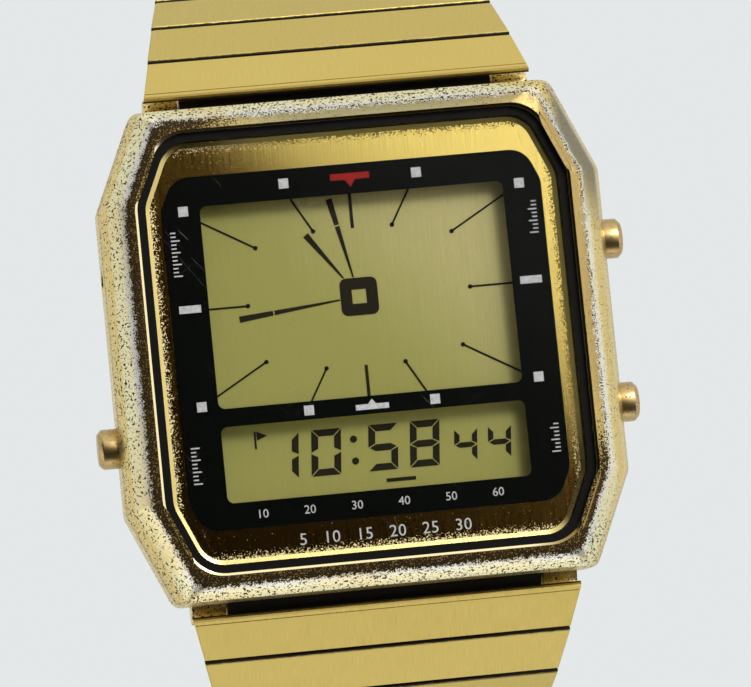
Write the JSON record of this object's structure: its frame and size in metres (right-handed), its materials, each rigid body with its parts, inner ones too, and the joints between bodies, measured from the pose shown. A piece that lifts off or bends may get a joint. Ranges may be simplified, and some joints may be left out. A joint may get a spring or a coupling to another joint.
{
  "type": "wristwatch",
  "caption": "Wristwatch with a square-shouldered gold-tone case, analog and digital liquid crystal dial, tapered full-width-link bracelet and fold-over clasp, closed and standing on its clasp.",
  "frame": {"origin": "centre of the standing face, on the flat outside of the clasp cover, below the middle of the case", "axes": "+X to 3 o'clock, +Y to 12 o'clock, +Z out of the dial"},
  "size_m": [0.0362, 0.058, 0.0436],
  "materials": {
    "worn_gold": "worn gold plating over white metal, with dark pits",
    "satin_gold": "satin brushed yellow gold",
    "pusher_gold": "polished coppery gold",
    "crystal_glass": "clear, fine scratches",
    "black_rubber": "matte",
    "gold_print": "mirror gold print",
    "black_print": "black print",
    "white_print": "white print",
    "red_print": "red print",
    "lcd_film": "olive liquid crystal background",
    "lcd_ink": "dark liquid crystal segment",
    "foil": "matte reflector foil",
    "module_plastic": "moulded",
    "connector_rubber": "striped conductive rubber",
    "lamp_glass": "clear bulb",
    "board_green": "solder mask",
    "chip_black": "epoxy",
    "bright_steel": "polished",
    "cell_steel": "nickel plated",
    "disc_brass": "plain",
    "back_steel": "circular brushed stainless steel",
    "blade_steel": "brushed stainless steel"
  },
  "bodies": {
    "case": {"case_middle": "worn_gold", "crystal": "crystal_glass", "crystal_gasket": "black_rubber", "face_frame": "gold_print", "black_mask": "black_print", "dial_marks": "white_print", "twelve_mark": "red_print", "lcd_panel": "lcd_film", "lcd_segments": "lcd_ink", "lcd_reflector": "foil", "module_frame": "module_plastic", "zebra_connectors": "connector_rubber", "lamp": "lamp_glass", "circuit_board": "board_green", "controller_chip": "chip_black", "quartz_crystal": "bright_steel", "battery": "cell_steel", "battery_clamp": "bright_steel", "buzzer_disc": "disc_brass", "buzzer_spring": "bright_steel", "case_back_gasket": "black_rubber", "case_back": "back_steel", "case_back_screws": "bright_steel", "button_springs": "bright_steel", "button_seals": "black_rubber", "spring_bars": "bright_steel"},
    "upper_end": {"upper_end_link": "satin_gold"},
    "upper_01": {"upper_link_01": "satin_gold"},
    "upper_02": {"upper_link_02": "satin_gold"},
    "upper_03": {"upper_link_03": "satin_gold"},
    "upper_04": {"upper_link_04": "satin_gold"},
    "upper_05": {"upper_link_05": "satin_gold"},
    "upper_06": {"upper_link_06": "satin_gold"},
    "upper_07": {"upper_link_07": "satin_gold"},
    "upper_08": {"upper_link_08": "satin_gold"},
    "upper_09": {"upper_link_09": "satin_gold"},
    "upper_10": {"upper_link_10": "satin_gold"},
    "upper_11": {"upper_link_11": "satin_gold"},
    "upper_12": {"upper_link_12": "satin_gold"},
    "lower_end": {"lower_end_link": "satin_gold"},
    "lower_01": {"lower_link_01": "satin_gold"},
    "lower_02": {"lower_link_02": "satin_gold"},
    "lower_03": {"lower_link_03": "satin_gold"},
    "lower_04": {"lower_link_04": "satin_gold"},
    "lower_05": {"lower_link_05": "satin_gold"},
    "lower_06": {"lower_link_06": "satin_gold"},
    "lower_07": {"lower_link_07": "satin_gold"},
    "lower_08": {"lower_link_08": "satin_gold"},
    "lower_09": {"lower_link_09": "satin_gold"},
    "lower_10": {"lower_link_10": "satin_gold"},
    "lower_11": {"lower_link_11": "satin_gold"},
    "lower_12": {"lower_link_12": "satin_gold"},
    "clasp_base": {"clasp_base_blade": "blade_steel"},
    "clasp_middle": {"clasp_middle_blade": "blade_steel"},
    "clasp_cover": {"clasp_cover": "satin_gold"},
    "mode_button": {"mode_button": "pusher_gold"},
    "adjust_button": {"adjust_button": "pusher_gold"},
    "light_button": {"light_button": "pusher_gold"},
    "date_button": {"date_button": "pusher_gold"}
  },
  "joints": [
    {"name": "upper_lug_hinge", "type": "hinge", "parent": "case", "child": "upper_end", "pos_m": [0, 0.0162, 0.03751], "axis": [1, 0, 0], "range_deg": [0, 14]},
    {"name": "upper_01_hinge", "type": "hinge", "parent": "upper_end", "child": "upper_01", "pos_m": [0, 0.01919, 0.03666], "axis": [1, 0, 0], "range_deg": [0, 6.23]},
    {"name": "upper_02_hinge", "type": "hinge", "parent": "upper_01", "child": "upper_02", "pos_m": [0, 0.02177, 0.03387], "axis": [1, 0, 0], "range_deg": [0, 7.08]},
    {"name": "upper_03_hinge", "type": "hinge", "parent": "upper_02", "child": "upper_03", "pos_m": [0, 0.02399, 0.03078], "axis": [1, 0, 0], "range_deg": [0, 7.93]},
    {"name": "upper_04_hinge", "type": "hinge", "parent": "upper_03", "child": "upper_04", "pos_m": [0, 0.02576, 0.02742], "axis": [1, 0, 0], "range_deg": [0, 8.79]},
    {"name": "upper_05_hinge", "type": "hinge", "parent": "upper_04", "child": "upper_05", "pos_m": [0, 0.02699, 0.02383], "axis": [1, 0, 0], "range_deg": [0, 9.64]},
    {"name": "upper_06_hinge", "type": "hinge", "parent": "upper_05", "child": "upper_06", "pos_m": [0, 0.02761, 0.02008], "axis": [1, 0, 0], "range_deg": [0, 10.49]},
    {"name": "upper_07_hinge", "type": "hinge", "parent": "upper_06", "child": "upper_07", "pos_m": [0, 0.02754, 0.01628], "axis": [1, 0, 0], "range_deg": [0, 11.34]},
    {"name": "upper_08_hinge", "type": "hinge", "parent": "upper_07", "child": "upper_08", "pos_m": [0, 0.02671, 0.01257], "axis": [1, 0, 0], "range_deg": [0, 12.2]},
    {"name": "upper_09_hinge", "type": "hinge", "parent": "upper_08", "child": "upper_09", "pos_m": [0, 0.02513, 0.00911], "axis": [1, 0, 0], "range_deg": [0, 13.05]},
    {"name": "upper_10_hinge", "type": "hinge", "parent": "upper_09", "child": "upper_10", "pos_m": [0, 0.0228, 0.00611], "axis": [1, 0, 0], "range_deg": [0, 13.9]},
    {"name": "upper_11_hinge", "type": "hinge", "parent": "upper_10", "child": "upper_11", "pos_m": [0, 0.01982, 0.00375], "axis": [1, 0, 0], "range_deg": [0, 14.75]},
    {"name": "upper_12_hinge", "type": "hinge", "parent": "upper_11", "child": "upper_12", "pos_m": [0, 0.01634, 0.00223], "axis": [1, 0, 0], "range_deg": [0, 15.61]},
    {"name": "lower_lug_hinge", "type": "hinge", "parent": "case", "child": "lower_end", "pos_m": [0, -0.0162, 0.03751], "axis": [-1, 0, 0], "range_deg": [0, 14]},
    {"name": "lower_01_hinge", "type": "hinge", "parent": "lower_end", "child": "lower_01", "pos_m": [0, -0.01919, 0.03666], "axis": [-1, 0, 0], "range_deg": [0, 6.23]},
    {"name": "lower_02_hinge", "type": "hinge", "parent": "lower_01", "child": "lower_02", "pos_m": [0, -0.02177, 0.03387], "axis": [-1, 0, 0], "range_deg": [0, 7.08]},
    {"name": "lower_03_hinge", "type": "hinge", "parent": "lower_02", "child": "lower_03", "pos_m": [0, -0.02399, 0.03078], "axis": [-1, 0, 0], "range_deg": [0, 7.93]},
    {"name": "lower_04_hinge", "type": "hinge", "parent": "lower_03", "child": "lower_04", "pos_m": [0, -0.02576, 0.02742], "axis": [-1, 0, 0], "range_deg": [0, 8.79]},
    {"name": "lower_05_hinge", "type": "hinge", "parent": "lower_04", "child": "lower_05", "pos_m": [0, -0.02699, 0.02383], "axis": [-1, 0, 0], "range_deg": [0, 9.64]},
    {"name": "lower_06_hinge", "type": "hinge", "parent": "lower_05", "child": "lower_06", "pos_m": [0, -0.02761, 0.02008], "axis": [-1, 0, 0], "range_deg": [0, 10.49]},
    {"name": "lower_07_hinge", "type": "hinge", "parent": "lower_06", "child": "lower_07", "pos_m": [0, -0.02754, 0.01628], "axis": [-1, 0, 0], "range_deg": [0, 11.34]},
    {"name": "lower_08_hinge", "type": "hinge", "parent": "lower_07", "child": "lower_08", "pos_m": [0, -0.02671, 0.01257], "axis": [-1, 0, 0], "range_deg": [0, 12.2]},
    {"name": "lower_09_hinge", "type": "hinge", "parent": "lower_08", "child": "lower_09", "pos_m": [0, -0.02513, 0.00911], "axis": [-1, 0, 0], "range_deg": [0, 13.05]},
    {"name": "lower_10_hinge", "type": "hinge", "parent": "lower_09", "child": "lower_10", "pos_m": [0, -0.0228, 0.00611], "axis": [-1, 0, 0], "range_deg": [0, 13.9]},
    {"name": "lower_11_hinge", "type": "hinge", "parent": "lower_10", "child": "lower_11", "pos_m": [0, -0.01982, 0.00375], "axis": [-1, 0, 0], "range_deg": [0, 14.75]},
    {"name": "lower_12_hinge", "type": "hinge", "parent": "lower_11", "child": "lower_12", "pos_m": [0, -0.01634, 0.00223], "axis": [-1, 0, 0], "range_deg": [0, 15.61]},
    {"name": "clasp_strap_hinge", "type": "hinge", "parent": "upper_12", "child": "clasp_base", "pos_m": [0, 0.01258, 0.0017], "axis": [1, 0, 0], "range_deg": [0, 8]},
    {"name": "clasp_unfold_hinge", "type": "hinge", "parent": "clasp_base", "child": "clasp_middle", "pos_m": [0, -0.00978, 0.0017], "axis": [-1, 0, 0], "range_deg": [0, 95]},
    {"name": "clasp_cover_hinge", "type": "hinge", "parent": "clasp_middle", "child": "clasp_cover", "pos_m": [0, 0.00988, 0.0017], "axis": [1, 0, 0], "range_deg": [0, 60]},
    {"name": "mode_button_press", "type": "slide", "parent": "case", "child": "mode_button", "axis": [1, 0, 0], "range_m": [0, 0.0008], "stiffness_N_per_m": 600, "springref_m": -0.0008},
    {"name": "adjust_button_press", "type": "slide", "parent": "case", "child": "adjust_button", "axis": [1, 0, 0], "range_m": [0, 0.0005], "stiffness_N_per_m": 600, "springref_m": -0.0008},
    {"name": "light_button_press", "type": "slide", "parent": "case", "child": "light_button", "axis": [-1, 0, 0], "range_m": [0, 0.0008], "stiffness_N_per_m": 600, "springref_m": -0.0008},
    {"name": "date_button_press", "type": "slide", "parent": "case", "child": "date_button", "axis": [-1, 0, 0], "range_m": [0, 0.0008], "stiffness_N_per_m": 600, "springref_m": -0.0008}
  ]
}
